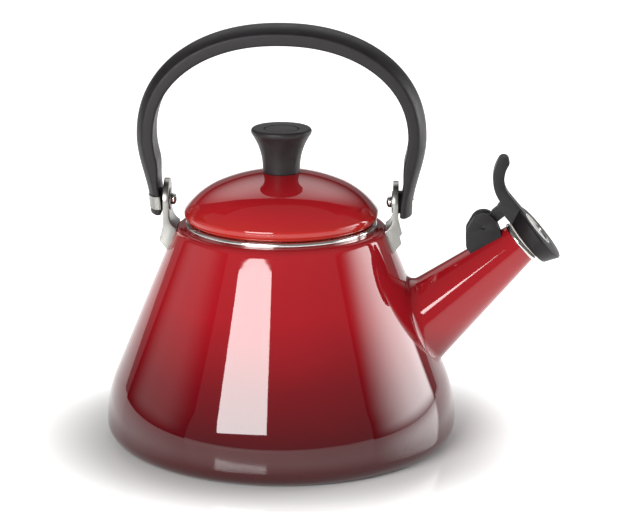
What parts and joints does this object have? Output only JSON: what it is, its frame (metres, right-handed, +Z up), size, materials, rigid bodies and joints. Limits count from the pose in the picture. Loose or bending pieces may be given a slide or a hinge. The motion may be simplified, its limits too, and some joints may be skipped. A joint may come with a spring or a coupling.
{
  "type": "stovetop whistling kettle",
  "caption": "Conical enamelled stovetop kettle with a swinging bail handle, lift-off domed lid with flared knob, and a spout closed by a flip-up whistle.",
  "frame": {"origin": "centre of the flat underside, on the surface the kettle stands on", "axes": "+Z up, +X from the body's axis towards the spout, the handle's pivot axis along X"},
  "size_m": [0.2577, 0.2, 0.239],
  "materials": {
    "enamel_red": "gloss",
    "enamel_base": "gloss",
    "polished_steel": "polished",
    "pressed_steel": "satin",
    "spring_steel": "satin",
    "zinc_steel": "satin",
    "black_phenolic": "satin",
    "knob_phenolic": "satin",
    "silicone": "matte"
  },
  "bodies": {
    "kettle": {"base_pan": "enamel_base", "body_shell": "enamel_red", "mouth_trim_ring": "polished_steel", "spout_tube": "enamel_red", "spout_lip_bead": "polished_steel", "lug_left": "pressed_steel", "lug_right": "pressed_steel", "pivot_screw_left": "polished_steel", "pivot_screw_right": "polished_steel", "friction_washer_left": "spring_steel", "friction_washer_right": "spring_steel", "lug_washer_left": "pressed_steel", "lug_washer_right": "pressed_steel", "dome_nut_left": "polished_steel", "dome_nut_right": "polished_steel", "whistle_saddle": "black_phenolic", "saddle_stud": "zinc_steel", "saddle_nut": "zinc_steel", "hinge_pin": "spring_steel", "whistle_spring": "spring_steel"},
    "handle": {"handle_grip": "black_phenolic", "handle_clip": "pressed_steel"},
    "lid": {"lid_shell": "enamel_red", "lid_collar": "pressed_steel", "lid_knob": "knob_phenolic", "knob_screw": "zinc_steel", "knob_washer": "zinc_steel"},
    "whistle": {"whistle_cap": "black_phenolic", "whistle_face_disc": "polished_steel", "whistle_inner_disc": "pressed_steel", "whistle_seal": "silicone"}
  },
  "joints": [
    {"name": "handle_swing", "type": "hinge", "parent": "kettle", "child": "handle", "pos_m": [0, 0, 0.138], "axis": [1, 0, 0], "range_deg": [-110, 110]},
    {"name": "lid_lift", "type": "slide", "parent": "kettle", "child": "lid", "axis": [0, 0, 1], "range_m": [0, 0.04]},
    {"name": "whistle_flip", "type": "hinge", "parent": "kettle", "child": "whistle", "pos_m": [0.11429, 0, 0.1256], "axis": [0, -1, 0], "range_deg": [0, 60], "stiffness_Nm_per_rad": 0.02, "springref_deg": -45.84, "deforming": ["whistle_spring"]}
  ]
}
